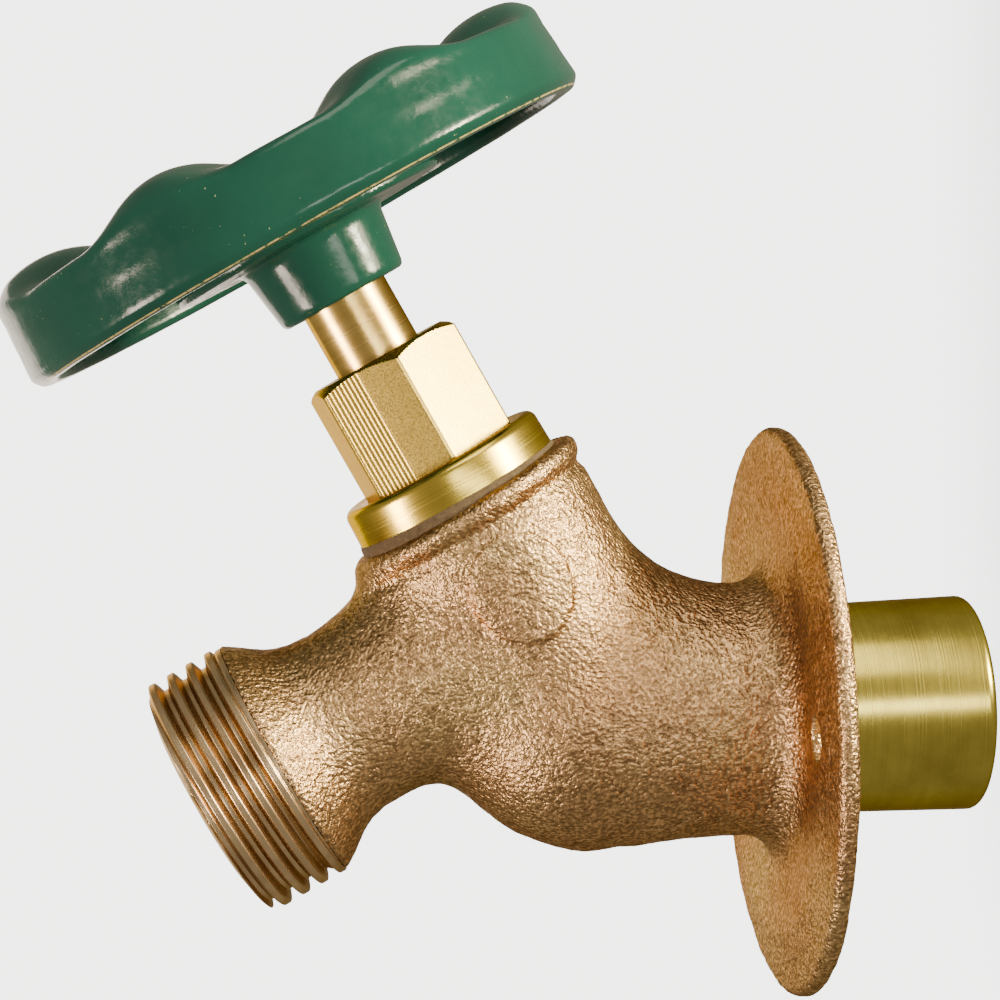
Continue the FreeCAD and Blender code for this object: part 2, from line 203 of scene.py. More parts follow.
def outline(radius, along, corners):
    """Signed distance to a closed outline of (radius, height) corners."""
    corners = np.array(corners, float)
    nearest = np.full(radius.shape, 1e9)
    sign = np.ones(radius.shape)
    for start, end in zip(corners, np.roll(corners, -1, axis=0)):
        edge = end - start
        wr, wa = radius - start[0], along - start[1]
        t = np.clip((wr * edge[0] + wa * edge[1]) / (edge @ edge), 0, 1)
        nearest = np.minimum(nearest, (wr - edge[0] * t) ** 2 + (wa - edge[1] * t) ** 2)
        above, below = along >= start[1], along < end[1]
        left = edge[0] * wa > edge[1] * wr
        flip = (above & below & left) | (~above & ~below & ~left)
        sign = np.where(flip, -sign, sign)
    return sign * np.sqrt(nearest)


def blend(a, b, size):
    """Union with a fillet about as large as size."""
    h = np.maximum(size - np.abs(a - b), 0) / size
    return np.minimum(a, b) - h * h * size / 4


def fillet(first, second, size):
    """Union of two (distance, facing) pairs; the fillet fades where both face one way."""
    (a, facing_a), (b, facing_b) = first, second
    turn = 1 - np.einsum("ij,ij->i", facing_a, facing_b)
    size = size * np.clip(turn / 0.55, 0.03, 1)
    h = np.maximum(size - np.abs(a - b), 0) / size
    share = np.clip(0.5 + 0.5 * (b - a) / size, 0, 1)[:, None]
    return np.minimum(a, b) - h * h * size / 4, share * facing_a + (1 - share) * facing_b


def carve(a, hole, size):
    """Cut with the new edge broken by about size."""
    h = np.maximum(size - np.abs(a + hole), 0) / size
    return np.maximum(a, -hole) + h * h * size / 4


def ease(x, low, high):
    t = np.clip((x - low) / (high - low), 0, 1)
    return t * t * (3 - 2 * t)


def away_from(vectors):
    """Unit vectors, safe at zero length."""
    return vectors / np.maximum(np.linalg.norm(vectors, axis=1), 1e-6)[:, None]


def casting_field(points):
    """Outside of the body casting, with its bores cut."""
    x = points[:, 0]
    radius = np.hypot(points[:, 1], points[:, 2])
    s, u, y = stem_coords(points)
    stem_r = np.hypot(u, y)
    k, out_r = outlet_coords(points)
    local = points - STEM_BASE
    stem_facing = away_from(local - s[:, None] * STEM_AXIS)
    local = points - OUTLET_END
    outlet_facing = away_from(local - k[:, None] * OUTLET_AXIS)
    neck_facing = away_from(points * np.array([0, 1, 1]))

    flange = outline(radius, x, FLANGE_PROFILE) - 0.9
    neck_r = np.hypot(points[:, 1], points[:, 2] - NECK_RISE)
    neck = cylinder(neck_r, x, NECK_R, VALVE_CENTRE_X, -1), neck_facing
    from_globe = points - np.array(GLOBE_CENTRE)
    globe = np.linalg.norm(from_globe, axis=1) - GLOBE_R, away_from(from_globe)
    below = np.minimum(s + BOSS_ROUND_DEPTH, 0)
    boss_r = np.hypot(u - CORE_SHIFT, y)
    leaning = s - MOUTH_TILT * u * ease(stem_r, 10.9, 11.7)
    boss = outline(boss_r, leaning, BOSS_PROFILE)
    boss = np.where(below < 0, np.hypot(boss_r, below) - BOSS_R, boss), stem_facing
    waist = np.interp(k, WAIST[0], WAIST[1])
    outlet = np.maximum((out_r - waist) * 0.9, np.maximum(THREAD_END - k, k - OUTLET_REACH))
    outlet = outlet, outlet_facing

    lower = fillet(globe, neck, 6)
    body = fillet(lower, boss, 9)
    body = fillet(body, outlet, 4.5)
    body = blend(body[0], flange, 4.4)
    across, along = (u - PAD_CENTRE[0]) / PAD_HALF[0], (s - PAD_CENTRE[1]) / PAD_HALF[1]
    pad = 1 - ease(np.hypot(across, along), 0.9, 1.03)
    body = body - PAD_RISE * np.where((y < 0) & (stem_r > 10), pad, 0)

    bore = 5.0 + 2.2 * (1 - ease(k, 19.5, 24.5)) + 2.3 * (1 - ease(k, 9, 12.5))
    body = np.maximum(body, -np.maximum(out_r - bore, k - OUTLET_REACH))
    for hole_r, wall, along, low, high in (
            (stem_r, MOUTH_R, s, -MOUTH_DEPTH, 5),
            (stem_r, CHAMBER_R, s, -CHAMBER_DEPTH, -MOUTH_DEPTH + 0.5),
            (stem_r, SEAT_BORE_R, s, -CHAMBER_DEPTH - 8, -CHAMBER_DEPTH + 1),
            (radius, PASSAGE_R, x, VALVE_CENTRE_X, 1),
            (radius, TUBE_SOCKET_R, x, -TUBE_SOCKET, 1)):
        body = np.maximum(body, -cylinder(hole_r, along, wall, low, high))
    for side in (-1, 1):
        hole = np.hypot(points[:, 1] - side * HOLE_OFFSET, points[:, 2]) - HOLE_R
        body = carve(body, np.maximum(hole, np.abs(x + 1) - 6), 0.35)
    return np.maximum(body, x)


def wheel_field(points):
    """Handwheel: rim wall, top plate, centre disc, tapered hub and finger lobes."""
    s, u, y = stem_coords(points)
    radius = np.hypot(u, y)
    rim = outline(radius, s, [(WHEEL_INNER_R + 0.75, WHEEL_BOTTOM + 0.75),
                              (WHEEL_R - 1.3, WHEEL_BOTTOM + 0.75),
                              (WHEEL_R - 0.8, WHEEL_BOTTOM + 1.35),
                              (WHEEL_R - 1.35, WHEEL_TOP - 0.75),
                              (WHEEL_INNER_R + 0.75, WHEEL_TOP - 0.75)]) - 0.75
    plate = outline(radius, s, [(-60, PLATE_BOTTOM + 0.5), (WHEEL_R - 2, PLATE_BOTTOM + 0.5),
                                (WHEEL_R - 2, WHEEL_TOP - 0.5), (-60, WHEEL_TOP - 0.5)]) - 0.5
    disc = outline(radius, s, [(-60, WHEEL_BOTTOM + 0.5), (DISC_R - 0.5, WHEEL_BOTTOM + 0.5),
                               (DISC_R - 0.5, WHEEL_TOP - 1), (-60, WHEEL_TOP - 1)]) - 0.5
    hub = outline(radius, s, [(-60, HUB_BOTTOM + 0.7), (6.5, HUB_BOTTOM + 0.7),
                              (7.4, WHEEL_BOTTOM), (7.4, WHEEL_TOP - 2.5),
                              (-60, WHEEL_TOP - 2.5)]) - 0.7

    sector = 2 * math.pi / LOBES
    angle = np.arctan2(u, -y) - LOBE_TURN
    angle = angle - sector * np.round(angle / sector)
    out, side = radius * np.cos(angle), radius * np.sin(angle)
    rise = s - (WHEEL_TOP + LOBE_RISE - LOBE_BALL_R)
    ball = np.sqrt(((out - LOBE_CIRCLE_R) / 1.1) ** 2 + side ** 2 + rise ** 2) - LOBE_BALL_R
    lobe = carve(ball, WHEEL_R - 0.6 - radius, 2.4)
    lobe = np.maximum(lobe, PLATE_BOTTOM + 1 - s)

    wheel = blend(rim, plate, 2.0)
    wheel = blend(wheel, lobe, 2.2)
    wheel = blend(wheel, disc, 1.5)
    wheel = blend(wheel, hub, 1.2)
    outside = outline(radius, s, [(-60, 0), (WHEEL_R - 0.05, 0),
                                  (WHEEL_R - 0.05, WHEEL_BOTTOM + 1.35),
                                  (WHEEL_R - 0.6, WHEEL_TOP - 0.75),
                                  (WHEEL_R - 0.6, 90), (-60, 90)])
    wheel = carve(wheel, -outside, 0.3)
    recess = cylinder(radius, s, RECESS_R, WHEEL_TOP - RECESS_DEPTH, WHEEL_TOP + 9)
    wheel = carve(wheel, recess, 0.8)
    between = angle - np.sign(angle) * sector / 2
    window = np.hypot(radius * np.cos(between) - WINDOW_CIRCLE_R, radius * np.sin(between))
    window = window - WINDOW_R
    wheel = carve(wheel, np.maximum(window, PLATE_BOTTOM - 2 - s), 1.0)
    socket = np.arctan2(u, -y) - SQUARE_TURN
    square = radius * np.maximum(np.abs(np.cos(socket)), np.abs(np.sin(socket))) - SQUARE_HALF
    hub_bore = cylinder(radius, s, HUB_BORE_R, HUB_BOTTOM - 2, SQUARE_BOTTOM + 0.2)
    wheel = np.maximum(wheel, -hub_bore)
    return np.maximum(wheel, -np.maximum(square, s - STEM_TOP - 0.1))


# ---------------------------------------------------------------- meshing

def sample(field, low, high, step):
    """Field values on a grid, worked out slab by slab."""
    axes = [np.arange(low[i], high[i] + step, step) for i in range(3)]
    grid_y, grid_z = np.meshgrid(axes[1], axes[2], indexing="ij")
    values = np.empty([len(axis) for axis in axes], np.float32)
    flat = np.empty((grid_y.size, 3))
    flat[:, 1], flat[:, 2] = grid_y.ravel(), grid_z.ravel()
    for index, x in enumerate(axes[0]):
        flat[:, 0] = x
        values[index] = field(flat).reshape(grid_y.shape)
    return values


CORNERS = [(i, j, k) for i in (0, 1) for j in (0, 1) for k in (0, 1)]
CELL_EDGES = [(a, b) for a in CORNERS for b in CORNERS
              if a < b and sum(np.abs(np.subtract(a, b))) == 1]


def surface_net(values, low, step):
    """Quads of the zero surface: one point in each cell that it crosses."""
    shape = [n - 1 for n in values.shape]
    inside = values < 0
    count = np.zeros(shape, np.uint8)
    for c in CORNERS:
        count += inside[c[0]:c[0] + shape[0], c[1]:c[1] + shape[1], c[2]:c[2] + shape[2]]
    cells = np.argwhere((count > 0) & (count < 8))
    index = np.full(shape, -1, np.int64)
    index[tuple(cells.T)] = np.arange(len(cells))
    total = np.zeros((len(cells), 3))
    crossings = np.zeros(len(cells))
    for a, b in CELL_EDGES:
        start, end = np.array(a), np.array(b)
        va = values[tuple((cells + start).T)]
        vb = values[tuple((cells + end).T)]
        crossed = (va < 0) != (vb < 0)
        t = np.where(crossed, va / np.where(va == vb, 1, va - vb), 0)
        total += np.where(crossed[:, None], start + t[:, None] * (end - start), 0)
        crossings += crossed
    points = np.array(low) + (cells + total / crossings[:, None]) * step
    quads = []
    for axis in range(3):
        b, c = (axis + 1) % 3, (axis + 2) % 3
        end = [slice(None)] * 3
        end[axis] = slice(1, None)
        start = [slice(None)] * 3
        start[axis] = slice(None, -1)
        first, second = inside[tuple(start)], inside[tuple(end)]
        for mask, order in ((first & ~second, 1), (~first & second, -1)):
            at = np.argwhere(mask)
            at = at[(at[:, b] > 0) & (at[:, b] < shape[b]) & (at[:, c] > 0) & (at[:, c] < shape[c])]
            ring = []
            for db, dc in ((-1, -1), (0, -1), (0, 0), (-1, 0))[::order]:
                cell = at.copy()
                cell[:, b] += db
                cell[:, c] += dc
                ring.append(index[tuple(cell.T)])
            quads.append(np.stack(ring, 1))
    return points, np.concatenate(quads)


def gradient(field, points, reach=0.02):
    """Outward unit normals of a field."""
    steps = np.eye(3) * reach
    normal = np.stack([field(points + d) - field(points - d) for d in steps], 1)
    return normal / np.maximum(np.linalg.norm(normal, axis=1), 1e-9)[:, None]


def settle(field, points, rounds=2, limit=0.15):
    """Moves points onto the zero surface."""
    for _ in range(rounds):
        move = np.clip(field(points), -limit, limit)
        points = points - gradient(field, points) * move[:, None]
    return points


def mesh_object(name, points, faces):
    """Smooth-shaded mesh from points in millimetres."""
    mesh = bpy.data.meshes.new(name)
    mesh.vertices.add(len(points))
    mesh.vertices.foreach_set("co", (np.asarray(points) * MM).astype(np.float32).ravel())
    faces = np.asarray(faces)
    sides = faces.shape[1]
    mesh.loops.add(faces.size)
    mesh.loops.foreach_set("vertex_index", faces.astype(np.int32).ravel())
    mesh.polygons.add(len(faces))
    mesh.polygons.foreach_set("loop_start", np.arange(0, faces.size, sides, dtype=np.int32))
    mesh.update(calc_edges=True)
    mesh.validate()
    mesh.polygons.foreach_set("use_smooth", np.ones(len(mesh.polygons), bool))
    piece = bpy.data.objects.new(name, mesh)
    bpy.context.scene.collection.objects.link(piece)
    return piece


def rough_skin(points, normals, size, height, seed):
    """Pushes points in and out by fractal noise, as on a sand casting."""
    offset = Vector((seed, 2 * seed, 3 * seed))
    push = np.array([noise.fractal(Vector(p) / size + offset, 0.9, 2.1, 4) for p in points])
    return points + normals * (push * height)[:, None]


def noise_field(points, size, seed):
    """Smooth noise from -1 to 1 at each point."""
    offset = Vector((seed, seed, seed))
    return np.array([noise.noise(Vector(p) / size + offset) for p in points])


# ---------------------------------------------------------------- lathe work

def turned_frame(axis, base):
    """Matrix to the row frame from one with Z along axis and its origin at base, in mm."""
    columns = np.cross(axis, NEAR), -NEAR, axis, base
    m = Matrix.Identity(4)
    for row in range(3):
        m[row] = [column[row] for column in columns]
    return m


STEM_FRAME = turned_frame(STEM_AXIS, STEM_BASE)
OUTLET_FRAME = turned_frame(OUTLET_AXIS, OUTLET_END)
# Z along +X, into the wall
INLET_FRAME = Matrix(((0, 0, 1, 0), (0, 1, 0, 0), (-1, 0, 0, 0), (0, 0, 0, 1)))


def placed(points, matrix):
    """Points carried by a 4 x 4 matrix."""
    m = np.array(matrix)
    return np.asarray(points) @ m[:3, :3].T + m[:3, 3]


def rounded(corners, steps=6):
    """Outline points; a corner with a third value becomes an arc.

    The arc turns about the centre of a fillet of that radius, but its own radius is always
    1 mm, so it stands proud of the corner.
    """
    made = []
    count = len(corners)
    for index, corner in enumerate(corners):
        here = Vector(corner[:2])
        if len(corner) == 2:
            made.append(here)
            continue
        back = (Vector(corners[index - 1][:2]) - here).normalized()
        forward = (Vector(corners[(index + 1) % count][:2]) - here).normalized()
        half = back.angle(forward) / 2
        centre = here + (back + forward).normalized() * corner[2] / math.sin(half)
        first = here + back * corner[2] / math.tan(half) - centre
        last = here + forward * corner[2] / math.tan(half) - centre
        for step in range(steps + 1):
            made.append(centre + first.slerp(last, step / steps))
    return made


def swept(rings, matrix):
    """Points and faces of a closed ring of closed sections."""
    turns, count = len(rings), len(rings[0])
    grids = np.meshgrid(np.arange(turns), np.arange(count), indexing="ij")
    turn, j = (grid.ravel() for grid in grids)
    after, k = (turn + 1) % turns, (j + 1) % count
    faces = np.stack([turn * count + j, after * count + j, after * count + k, turn * count + k], 1)
    return placed(np.array(rings).reshape(-1, 3), matrix), faces


def lathe(name, corners, matrix, turns=160):
    """Closed turned piece from (radius, height) corners, and a third value to round one."""
    section = rounded(corners)
    rings = []
    for turn in range(turns):
        angle = 2 * math.pi * turn / turns
        c, s = math.cos(angle), math.sin(angle)
        rings.append([(p[0] * c, p[0] * s, p[1]) for p in section])
    piece = mesh_object(name, *swept(rings, matrix))
    fix_normals(piece)
    return piece


def fix_normals(piece, sharp=math.radians(32)):
    """Outward faces, with edges over the sharp angle kept crisp."""
    work = bmesh.new()
    work.from_mesh(piece.data)
    bmesh.ops.recalc_face_normals(work, faces=work.faces)
    for edge in work.edges:
        edge.smooth = not edge.is_manifold or edge.calc_face_angle(0) < sharp
    work.to_mesh(piece.data)
    work.free()


# ---------------------------------------------------------------- pieces

def make_casting():
    """Body casting, with rough skin where it isn't machined."""
    low, high = CASTING_SPACE
    points, quads = surface_net(sample(casting_field, low, high, CASTING_STEP), low, CASTING_STEP)
    points = settle(casting_field, points)
    normals = gradient(casting_field, points, 0.2)
    s, u, y = stem_coords(points)
    k, out_r = outlet_coords(points)
    stem_r = np.hypot(u, y)
    hole = np.hypot(np.abs(points[:, 1]) - HOLE_OFFSET, points[:, 2])
    machined = (points[:, 0] > -0.12) | (hole < HOLE_R + 0.12)
    machined |= (s > -GASKET - 0.12) & (stem_r < 10.85) | (stem_r < MOUTH_R + 0.2) & (s > -19.4)
    machined |= (k < THREAD_END + 0.1) | (out_r < OUTLET_BORE_R) & (k < 20)
    machined |= (np.hypot(points[:, 1], points[:, 2]) < TUBE_R + 0.3) & (points[:, 0] > -8.3)
    rough = rough_skin(points, normals, *SKIN_GRAIN, 3.0)
    size, height = SKIN_SWELL
    rough = rough + normals * (noise_field(points, size, 11.0) * height)[:, None]
    limit = rough[:, 0] > -0.02
    rough[limit, 0] = -0.02
    points = np.where(machined[:, None], points, rough)
    piece = mesh_object("casting", points, quads)
    attribute = piece.data.attributes.new("machined", "FLOAT", "POINT")
    attribute.data.foreach_set("value", machined.astype(np.float32))
    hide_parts("body_casting")
    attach(piece, "valve_body")
    return piece


def make_thread():
    """Machined hose end: the male thread, end face and first stretch of bore."""
    turns, rows = THREAD_GRID
    k = np.linspace(0, THREAD_END, rows)
    angles = np.linspace(0, 2 * math.pi, turns, endpoint=False)
    kk, aa = np.meshgrid(k, angles)
    phase = (kk / THREAD_PITCH - aa / (2 * math.pi) + THREAD_TURN) % 1
    crest = ease(np.abs(phase - 0.5) * 2, 0.16, 0.76)
    r = THREAD_ROOT_R + (THREAD_R - THREAD_ROOT_R) * crest
    r = np.minimum(r, 12.3 + 2.4 * kk)
    r = np.maximum(r, THREAD_ROOT_R + 0.95 * ease(kk, THREAD_END - 2.0, THREAD_END - 0.4))
    inner = rounded([(OUTLET_BORE_R, THREAD_END), (OUTLET_BORE_R, 0, 0.5), (12.0, 0)])
    section = []
    for index in range(turns):
        ring = [(p[0], p[1]) for p in inner[:-1]] + list(zip(r[index], k))
        c, s = math.cos(angles[index]), math.sin(angles[index])
        section.append([(p[0] * c, p[0] * s, p[1]) for p in ring])
    piece = mesh_object("hose_thread", *swept(section, OUTLET_FRAME))
    fix_normals(piece, math.radians(50))
    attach(piece, "valve_body")
    return piece


def make_wheel():
    """Handwheel, worked out in the stem's frame."""
    low, high = WHEEL_SPACE

    def local_field(points):
        return wheel_field(placed(points, STEM_FRAME))

    points, quads = surface_net(sample(local_field, low, high, WHEEL_STEP), low, WHEEL_STEP)
    points = settle(local_field, points)
    normals = gradient(local_field, points, 0.1)
    points = points + normals * (noise_field(points, 5.0, 4.0) * 0.035)[:, None]
    piece = mesh_object("wheel", placed(points, STEM_FRAME), quads)
    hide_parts("handwheel")
    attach(piece, "spindle")
    return piece


def make_tube():
    """Inlet tube, turned down where it goes into the casting."""
    piece = lathe("tube", [
        (PASSAGE_R, -7.9), (TUBE_SOCKET_R - 0.02, -7.9), (TUBE_SOCKET_R - 0.02, 0),
        (TUBE_R - 0.02, 0), (TUBE_R - 0.02, TUBE_LENGTH, 0.6),
        (TUBE_BORE_R, TUBE_LENGTH, 0.4), (TUBE_BORE_R, 0), (PASSAGE_R, -1)], INLET_FRAME, 200)
    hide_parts("inlet_tube")
    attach(piece, "valve_body")
    return piece


def make_gasket():
    """Fibre ring under the collar."""
    piece = lathe("gasket", [
        (GASKET_HOLE_R, -GASKET), (GASKET_R, -GASKET, 0.15), (GASKET_R, 0, 0.15),
        (GASKET_HOLE_R, 0)], STEM_FRAME)
    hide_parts("bonnet_gasket")
    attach(piece, "valve_body")
    return piece


def make_collar():
    """Bonnet: threaded shank, round collar and neck."""
    piece = lathe("collar", [
        (BONNET_BORE_R, SHANK_BOTTOM), (SHANK_R, SHANK_BOTTOM, 0.5), (SHANK_R, 0.02),
        (COLLAR_R, 0.02, 0.35), (COLLAR_R, COLLAR_TOP, 0.45), (BONNET_NECK_R, COLLAR_TOP),
        (BONNET_NECK_R, BONNET_NECK_TOP, 0.3), (BONNET_BORE_R, BONNET_NECK_TOP)], STEM_FRAME, 200)
    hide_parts("bonnet")
    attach(piece, "valve_body")
    return piece


def make_nut():
    """Hexagon nut: flats with fine ridges on one, turned corners, and a hollow for the neck."""
    turns, corner_r = 960, NUT_FLATS / 2 / math.cos(math.pi / 6)
    heights = [NUT_BOTTOM, NUT_BOTTOM + 0.25, NUT_BOTTOM + 0.5]
    heights += list(np.linspace(NUT_BOTTOM + 1, NUT_TOP - 2, 8))
    heights += list(np.linspace(NUT_TOP - 1.8, NUT_TOP, 24))
    rows = []
    for index in range(turns):
        angle = 2 * math.pi * index / turns
        sector = (angle - NUT_TURN) % (math.pi / 3) - math.pi / 6
        face = int((angle - NUT_TURN) % (2 * math.pi) // (math.pi / 3))
        across = NUT_FLATS / 2 * math.tan(sector)
        flat_r = NUT_FLATS / 2 / math.cos(sector)
        if face == RIDGED_FACE and RIDGED_SPAN[0] < across < RIDGED_SPAN[1]:
            flat_r -= RIDGE_HALF_DEPTH * (1 - math.cos(2 * math.pi * across / RIDGE_PITCH))
        flat_r = min(flat_r, corner_r - 0.1)
        ring = []
        for h in heights:
            top = corner_r - max(0, h - (NUT_TOP - NUT_CHAMFER)) * 1.75
            foot = corner_r - max(0, NUT_BOTTOM + 0.5 - h) * 0.9
            ring.append((min(flat_r, top, foot), h))
        ring += [(NUT_BORE_R + 0.25, NUT_TOP), (NUT_BORE_R, NUT_TOP - 0.25),
                 (NUT_BORE_R, NUT_HOLLOW_TOP), (NUT_HOLLOW_R, NUT_HOLLOW_TOP),
                 (NUT_HOLLOW_R, NUT_BOTTOM)]
        rows.append([(r * math.sin(angle), -r * math.cos(angle), h) for r, h in ring])
    piece = mesh_object("nut", *swept(rows, STEM_FRAME))
    fix_normals(piece, math.radians(14))
    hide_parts("packing_nut")
    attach(piece, "valve_body")
    return piece


# ---------------------------------------------------------------- materials

class Paint:
    """A node material: adds nodes and links them by name."""

    def __init__(self, name, **surface):
        self.material = bpy.data.materials.new(name)
        self.material.use_nodes = True
        self.tree = self.material.node_tree
        self.surface = self.tree.nodes["Principled BSDF"]
        self.set(self.surface, **surface)
        self.place = self.add("ShaderNodeTexCoord").outputs["Object"]

    def feed(self, socket, value):
        """Links a socket to another, or sets it to a number, tuple or RGB colour."""
        if isinstance(value, bpy.types.NodeSocket):
            self.tree.links.new(value, socket)
        elif isinstance(value, tuple) and len(value) == 3 and socket.type == "RGBA":
            socket.default_value = (*value, 1)
        else:
            socket.default_value = value

    def set(self, node, **values):
        for key, value in values.items():
            self.feed(node.inputs[key.replace("_", " ")], value)

    def add(self, kind, settings=None, **values):
        node = self.tree.nodes.new(kind)
        for key, value in (settings or {}).items():
            setattr(node, key, value)
        self.set(node, **values)
        return node

    def noise(self, scale, detail=4.0, rough=0.6, place=None, **more):
        return self.add("ShaderNodeTexNoise", None, Vector=place or self.place, Scale=scale,
                        Detail=detail, Roughness=rough, **more).outputs["Fac"]

    def ramp(self, value, stops, interpolation="LINEAR"):
        node = self.add("ShaderNodeValToRGB", None, Fac=value)
        ramp = node.color_ramp
        ramp.interpolation = interpolation
        while len(ramp.elements) < len(stops):
            ramp.elements.new(0.5)
        for element, (position, colour) in zip(ramp.elements, stops):
            element.position = position
            if isinstance(colour, (int, float)):
                colour = (colour,) * 3
            element.color = (*colour, 1)
        return node.outputs["Color"]

    def mix(self, factor, a, b, mode="MIX"):
        node = self.add("ShaderNodeMix", {"data_type": "RGBA", "blend_type": mode})
        for index, value in ((0, factor), (6, a), (7, b)):
            self.feed(node.inputs[index], value)
        return node.outputs[2]

    def math(self, operation, a, b=0.5):
        node = self.add("ShaderNodeMath", {"operation": operation})
        for socket, value in zip(node.inputs, (a, b)):
            self.feed(socket, value)
        return node.outputs[0]

    def vector_math(self, operation, a, b):
        """A vector operation on a and the fixed vector b."""
        node = self.add("ShaderNodeVectorMath", {"operation": operation})
        self.feed(node.inputs[0], a)
        self.feed(node.inputs[1], tuple(b))
        return node.outputs["Value" if operation == "DOT_PRODUCT" else "Vector"]

    def fade(self, value, start, end):
        """0 at start to 1 at end, smoothly, and held beyond them."""
        return self.add("ShaderNodeMapRange", {"interpolation_type": "SMOOTHSTEP"}, Value=value,
                        From_Min=start, From_Max=end).outputs["Result"]

    def bump(self, height, strength, distance, normal=None):
        node = self.add("ShaderNodeBump", None, Height=height, Strength=strength, Distance=distance)
        if normal:
            self.tree.links.new(normal, node.inputs["Normal"])
        return node.outputs["Normal"]

    def on(self, *pieces):
        for piece in pieces:
            piece.data.materials.clear()
            piece.data.materials.append(self.material)


def cast_bronze():
    """Sand-cast bronze: grain tops painted brighter as a sparkling highlight, hollows painted darker brown as
    shade, and clean machined faces.
    """
    p = Paint("cast_bronze_skin", Metallic=1.0, Specular_Tint=(0.36, 0.29, 0.22, 1))
    grain = p.noise(2500, 1.5, 0.5)
    fine = p.noise(4200, 2, 0.6)
    coarse = p.noise(620, 3, 0.6)
    patches = p.noise(60, 3, 0.55)
    tone = p.ramp(patches, [(0.3, (0.42, 0.235, 0.115)), (0.5, (0.50, 0.31, 0.15)),
                            (0.7, (0.56, 0.39, 0.18))])
    # Painted highlight and shade: the colour follows the grain's bump noise, up to 1.6 times brighter on its tops
    # and darker in its valleys
    grain_sparkle_and_shade = p.ramp(grain, [(0.34, 0.68), (0.5, 0.95), (0.64, 1.6)])
    # Painted shade: darker in the hollows of the coarse bumps
    hollow_shade = p.ramp(coarse, [(0.32, 0.75), (0.5, 1.0)])
    tone = p.mix(1.0, p.mix(1.0, tone, grain_sparkle_and_shade, "MULTIPLY"), hollow_shade, "MULTIPLY")
    machined = p.add("ShaderNodeAttribute", {"attribute_name": "machined"}).outputs["Fac"]
    tone = p.mix(machined, tone, (0.70, 0.46, 0.22))
    rough = p.ramp(fine, [(0.3, 0.46), (0.7, 0.3)])
    rough = p.mix(machined, rough, (0.28, 0.28, 0.28))
    p.set(p.surface, Base_Color=tone, Roughness=rough)
    grit = p.bump(grain, 1.0, 0.00026)
    p.set(p.surface, Normal=p.bump(coarse, 0.35, 0.0005, grit))
    return p


def polished(name, colour, roughness, dull, rings_axis=None):
    """Turned brass or bronze: stains, and fine tool lines round rings_axis if it is given."""
    p = Paint(name, Metallic=1.0, Specular_Tint=(0.5, 0.38, 0.2, 1))
    stain = p.noise(160, 4, 0.6)
    base = p.mix(p.ramp(stain, [(0.35, 0.0), (0.7, 1.0)]), colour, dull)
    lines_place = p.place
    if rings_axis is not None:
        along = p.vector_math("DOT_PRODUCT", p.place, rings_axis)
        lines_place = p.add("ShaderNodeCombineXYZ", None, X=along).outputs[0]
    lines = p.noise(5200, 2, 0.7, lines_place)
    wide = p.noise(900, 2, 0.5, lines_place)
    base = p.mix(p.ramp(wide, [(0.35, 0.35), (0.6, 0.0)]), base, dull)
    rough = p.ramp(lines, [(0.25, roughness + 0.12), (0.75, roughness - 0.04)])
    p.set(p.surface, Base_Color=base, Roughness=rough)
    p.set(p.surface, Normal=p.bump(lines, 0.22, 0.00006))
    return p


def enamel():
    """Green enamel: tiny chips, and a painted highlight along the rim's lower edge, a ragged line in the colour of
    bare metal.
    """
    p = Paint("green_enamel_skin", Metallic=0.0, Specular_IOR_Level=0.33)
    local = p.vector_math("SUBTRACT", p.place, STEM_BASE * MM)
    height = p.math("MULTIPLY", p.vector_math("DOT_PRODUCT", local, STEM_AXIS), 1 / MM)
    span = p.add("ShaderNodeVectorMath", {"operation": "LENGTH"})
    p.feed(span.inputs[0], p.vector_math("CROSS_PRODUCT", local, STEM_AXIS))
    radius = p.math("MULTIPLY", span.outputs["Value"], 1 / MM)

    mottle = p.noise(90, 3, 0.5)
    green = p.ramp(mottle, [(0.3, (0.007, 0.050, 0.035)), (0.7, (0.010, 0.066, 0.046))])
    chips = p.ramp(p.noise(2600, 2, 0.5), [(0.73, 0.0), (0.76, 1.0)])
    chips = p.math("MULTIPLY", chips, p.ramp(p.noise(140, 2, 0.5), [(0.48, 0.0), (0.6, 1.0)]))
    ragged = p.ramp(p.noise(900, 3, 0.7), [(0.36, 0.0), (0.5, 1.0)])
    # Painted highlight: a ragged golden line round the rim's lower edge, near its outer face
    off = p.math("ABSOLUTE", p.math("SUBTRACT", height, HIGHLIGHT_LINE_LEVEL))
    painted_highlight_line = p.fade(off, HIGHLIGHT_LINE_WIDTH, HIGHLIGHT_LINE_WIDTH * 0.4)
    painted_highlight_line = p.math("MULTIPLY", painted_highlight_line, p.fade(radius, WHEEL_R - 2.2, WHEEL_R - 1.6))
    painted_highlight_line = p.math("MULTIPLY", painted_highlight_line, ragged)
    shade = p.mix(chips, green, (0.30, 0.36, 0.18))
    shade = p.mix(painted_highlight_line, shade, (0.50, 0.40, 0.16))
    rough = p.ramp(p.noise(700, 4, 0.7), [(0.35, 0.13), (0.65, 0.24)])
    p.set(p.surface, Base_Color=shade, Roughness=rough)
    p.set(p.surface, Normal=p.bump(p.noise(520, 3, 0.6), 0.1, 0.00035))
    return p


def dull(name, colour, roughness, scale):
    """Fibre, packing and rubber: matt with a fine tooth."""
    p = Paint(name, Roughness=roughness, Specular_IOR_Level=0.1)
    tooth = p.noise(scale, 4, 0.6)
    darker = tuple(c * 0.55 for c in colour)
    p.set(p.surface, Base_Color=p.ramp(tooth, [(0.3, darker), (0.7, colour)]))
    p.set(p.surface, Normal=p.bump(tooth, 0.4, 0.0001))
    return p


# ---------------------------------------------------------------- stage

